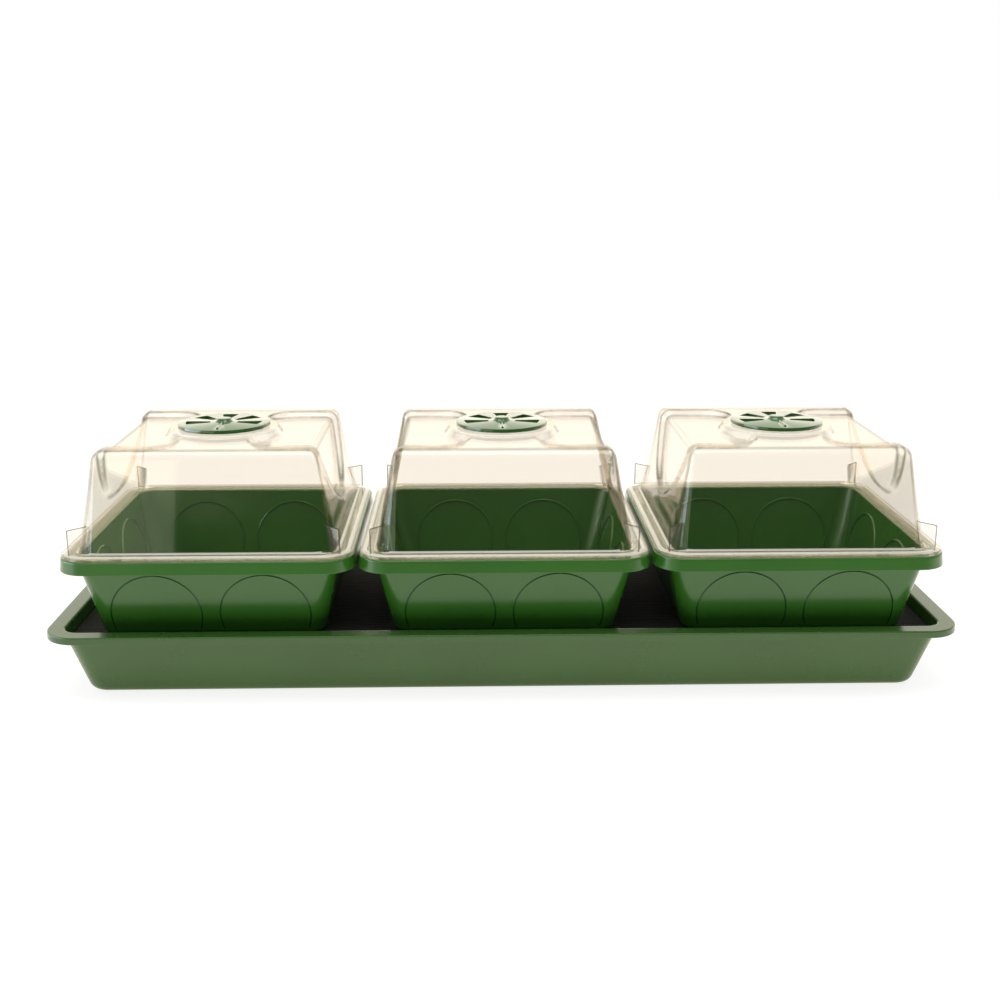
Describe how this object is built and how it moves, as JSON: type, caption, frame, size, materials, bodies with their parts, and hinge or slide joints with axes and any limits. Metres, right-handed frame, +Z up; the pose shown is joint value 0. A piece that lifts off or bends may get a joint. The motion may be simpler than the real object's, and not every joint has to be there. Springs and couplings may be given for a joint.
{
  "type": "humidity dome tray",
  "caption": "Windowsill propagator: a long water tray with a raised capillary mat carries square seed trays, each under a clear humidity dome with a turning vent.",
  "frame": {"origin": "middle of the water tray's underside, on the surface that it stands on", "axes": "+X along the long side, +Z up, the front long side faces -Y"},
  "size_m": [0.76, 0.25, 0.216],
  "materials": {
    "base_green": "glossy moulded polypropylene, dark green",
    "platform_dark": "plain moulded plastic, dark",
    "mat_black": "needled felt, matt black",
    "tray_green": "satin moulded polypropylene, mid green",
    "dome_clear": "clear rigid plastic, polished",
    "vent_green": "glossy moulded plastic, green"
  },
  "bodies": {
    "base": {"base_tray": "base_green"},
    "platform": {"support_platform": "platform_dark"},
    "mat": {"capillary_mat": "mat_black"},
    "left_tray": {"seed_tray_left": "tray_green"},
    "middle_tray": {"seed_tray_middle": "tray_green"},
    "right_tray": {"seed_tray_right": "tray_green"},
    "left_dome": {"dome_left": "dome_clear"},
    "middle_dome": {"dome_middle": "dome_clear"},
    "right_dome": {"dome_right": "dome_clear"},
    "left_vent": {"vent_left": "vent_green"},
    "middle_vent": {"vent_middle": "vent_green"},
    "right_vent": {"vent_right": "vent_green"}
  },
  "joints": [
    {"name": "platform_lift", "type": "slide", "parent": "base", "child": "platform", "axis": [0, 0, 1], "range_m": [0, 0.07]},
    {"name": "mat_lift", "type": "slide", "parent": "platform", "child": "mat", "axis": [0, 0, 1], "range_m": [0, 0.05]},
    {"name": "left_tray_lift", "type": "slide", "parent": "mat", "child": "left_tray", "axis": [0, 0, 1], "range_m": [0, 0.1]},
    {"name": "middle_tray_lift", "type": "slide", "parent": "mat", "child": "middle_tray", "axis": [0, 0, 1], "range_m": [0, 0.1]},
    {"name": "right_tray_lift", "type": "slide", "parent": "mat", "child": "right_tray", "axis": [0, 0, 1], "range_m": [0, 0.1]},
    {"name": "left_dome_lift", "type": "slide", "parent": "left_tray", "child": "left_dome", "axis": [0, 0, 1], "range_m": [0, 0.12]},
    {"name": "middle_dome_lift", "type": "slide", "parent": "middle_tray", "child": "middle_dome", "axis": [0, 0, 1], "range_m": [0, 0.12]},
    {"name": "right_dome_lift", "type": "slide", "parent": "right_tray", "child": "right_dome", "axis": [0, 0, 1], "range_m": [0, 0.12]},
    {"name": "left_vent_turn", "type": "hinge", "parent": "left_dome", "child": "left_vent", "pos_m": [-0.2435, 0, 0.21], "axis": [0, 0, 1], "range_deg": [0, 25]},
    {"name": "middle_vent_turn", "type": "hinge", "parent": "middle_dome", "child": "middle_vent", "pos_m": [0, 0, 0.21], "axis": [0, 0, 1], "range_deg": [0, 25]},
    {"name": "right_vent_turn", "type": "hinge", "parent": "right_dome", "child": "right_vent", "pos_m": [0.2435, 0, 0.21], "axis": [0, 0, 1], "range_deg": [0, 25]}
  ]
}
